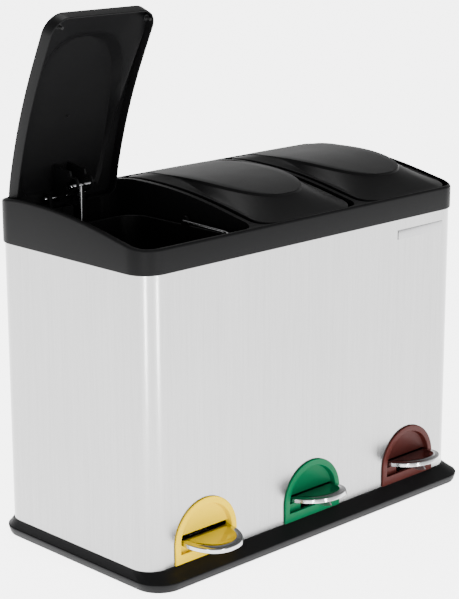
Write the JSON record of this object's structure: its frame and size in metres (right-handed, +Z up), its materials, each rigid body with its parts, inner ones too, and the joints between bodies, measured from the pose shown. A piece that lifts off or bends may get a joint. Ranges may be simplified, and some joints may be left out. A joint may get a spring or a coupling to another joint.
{
  "type": "recycling bin station",
  "caption": "Pedal recycling bin with steel body, dark plastic base and rim, side-by-side buckets with colour-coded pedal arches, and rear-hinged lids lifted by push rods.",
  "frame": {"origin": "on the floor, under the middle of the whole footprint with the pedals included", "axes": "+X to the right seen from the pedals, -Y towards the user, +Z up"},
  "size_m": [0.6, 0.3434, 0.6923],
  "materials": {
    "frame_plastic": "fine satin grain, dark grey",
    "lid_plastic": "fine satin grain, dark grey",
    "base_plastic": "fine grain, near black",
    "bucket_plastic": "smooth satin, black",
    "inner_plastic": "moulded, black",
    "rubber": "matt black",
    "brushed_steel": "vertical fine brushing",
    "polished_steel": "satin chrome plated",
    "zinc_steel": "zinc plated",
    "yellow_plastic": "semi-gloss",
    "green_plastic": "semi-gloss",
    "brown_plastic": "semi-gloss",
    "badge_plate": "light satin, blank"
  },
  "bodies": {
    "cabinet": {"base_tray": "base_plastic", "bucket_platform": "inner_plastic", "steel_shell": "brushed_steel", "top_frame": "frame_plastic", "name_badge": "badge_plate", "rubber_foot_1": "rubber", "rubber_foot_2": "rubber", "rubber_foot_3": "rubber", "rubber_foot_4": "rubber", "bezel_yellow": "yellow_plastic", "rod_guide_left": "inner_plastic", "hinge_pin_left": "polished_steel", "pedal_bracket_left": "zinc_steel", "pedal_pin_left": "polished_steel", "bracket_screw_left": "zinc_steel", "bezel_green": "green_plastic", "rod_guide_middle": "inner_plastic", "hinge_pin_middle": "polished_steel", "pedal_bracket_middle": "zinc_steel", "pedal_pin_middle": "polished_steel", "bracket_screw_middle": "zinc_steel", "bucket_middle": "bucket_plastic", "bail_handle_middle": "polished_steel", "bezel_brown": "brown_plastic", "rod_guide_right": "inner_plastic", "hinge_pin_right": "polished_steel", "pedal_bracket_right": "zinc_steel", "pedal_pin_right": "polished_steel", "bracket_screw_right": "zinc_steel", "bucket_right": "bucket_plastic", "bail_handle_right": "polished_steel"},
    "lid_left": {"lid_left": "lid_plastic", "lid_bumper_left_a": "rubber", "lid_bumper_left_b": "rubber"},
    "pedal_left": {"pedal_lever_left": "zinc_steel", "pedal_plate_left": "polished_steel"},
    "push_rod_left": {"push_rod_left": "zinc_steel"},
    "bucket_left": {"bucket_left": "bucket_plastic"},
    "bail_handle_left": {"bail_handle_left": "polished_steel"},
    "lid_middle": {"lid_middle": "lid_plastic", "lid_bumper_middle_a": "rubber", "lid_bumper_middle_b": "rubber"},
    "pedal_middle": {"pedal_lever_middle": "zinc_steel", "pedal_plate_middle": "polished_steel"},
    "push_rod_middle": {"push_rod_middle": "zinc_steel"},
    "lid_right": {"lid_right": "lid_plastic", "lid_bumper_right_a": "rubber", "lid_bumper_right_b": "rubber"},
    "pedal_right": {"pedal_lever_right": "zinc_steel", "pedal_plate_right": "polished_steel"},
    "push_rod_right": {"push_rod_right": "zinc_steel"}
  },
  "joints": [
    {"name": "lid_left_hinge", "type": "hinge", "parent": "cabinet", "child": "lid_left", "pos_m": [-0.195, 0.14025, 0.4455], "axis": [-1, 0, 0], "range_deg": [-76, 0]},
    {"name": "pedal_left_hinge", "type": "hinge", "parent": "cabinet", "child": "pedal_left", "pos_m": [-0.195, -0.10375, 0.042], "axis": [1, 0, 0], "range_deg": [-12, 0]},
    {"name": "push_rod_left_slide", "type": "slide", "parent": "cabinet", "child": "push_rod_left", "axis": [0, 0, 1], "range_m": [-0.04473, 0]},
    {"name": "bucket_left_lift", "type": "slide", "parent": "cabinet", "child": "bucket_left", "axis": [0, 0, 1], "range_m": [0, 0.2]},
    {"name": "bail_left_swing", "type": "hinge", "parent": "bucket_left", "child": "bail_handle_left", "pos_m": [-0.195, -0.00775, 0.4235], "axis": [-1, 0, 0], "range_deg": [0, 180]},
    {"name": "lid_middle_hinge", "type": "hinge", "parent": "cabinet", "child": "lid_middle", "pos_m": [0, 0.14025, 0.4455], "axis": [-1, 0, 0], "range_deg": [0, 76]},
    {"name": "pedal_middle_hinge", "type": "hinge", "parent": "cabinet", "child": "pedal_middle", "pos_m": [0, -0.10375, 0.042], "axis": [1, 0, 0], "range_deg": [0, 12]},
    {"name": "push_rod_middle_slide", "type": "slide", "parent": "cabinet", "child": "push_rod_middle", "axis": [0, 0, 1], "range_m": [0, 0.04473]},
    {"name": "lid_right_hinge", "type": "hinge", "parent": "cabinet", "child": "lid_right", "pos_m": [0.195, 0.14025, 0.4455], "axis": [-1, 0, 0], "range_deg": [0, 76]},
    {"name": "pedal_right_hinge", "type": "hinge", "parent": "cabinet", "child": "pedal_right", "pos_m": [0.195, -0.10375, 0.042], "axis": [1, 0, 0], "range_deg": [0, 12]},
    {"name": "push_rod_right_slide", "type": "slide", "parent": "cabinet", "child": "push_rod_right", "axis": [0, 0, 1], "range_m": [0, 0.04473]}
  ],
  "couplings": [
    {"joint": "pedal_left_hinge", "follows": "lid_left_hinge", "ratio": 0.15789},
    {"joint": "push_rod_left_slide", "follows": "lid_left_hinge", "m_per_rad": 0.03372},
    {"joint": "pedal_middle_hinge", "follows": "lid_middle_hinge", "ratio": 0.15789},
    {"joint": "push_rod_middle_slide", "follows": "lid_middle_hinge", "m_per_rad": 0.03372},
    {"joint": "pedal_right_hinge", "follows": "lid_right_hinge", "ratio": 0.15789},
    {"joint": "push_rod_right_slide", "follows": "lid_right_hinge", "m_per_rad": 0.03372}
  ]
}
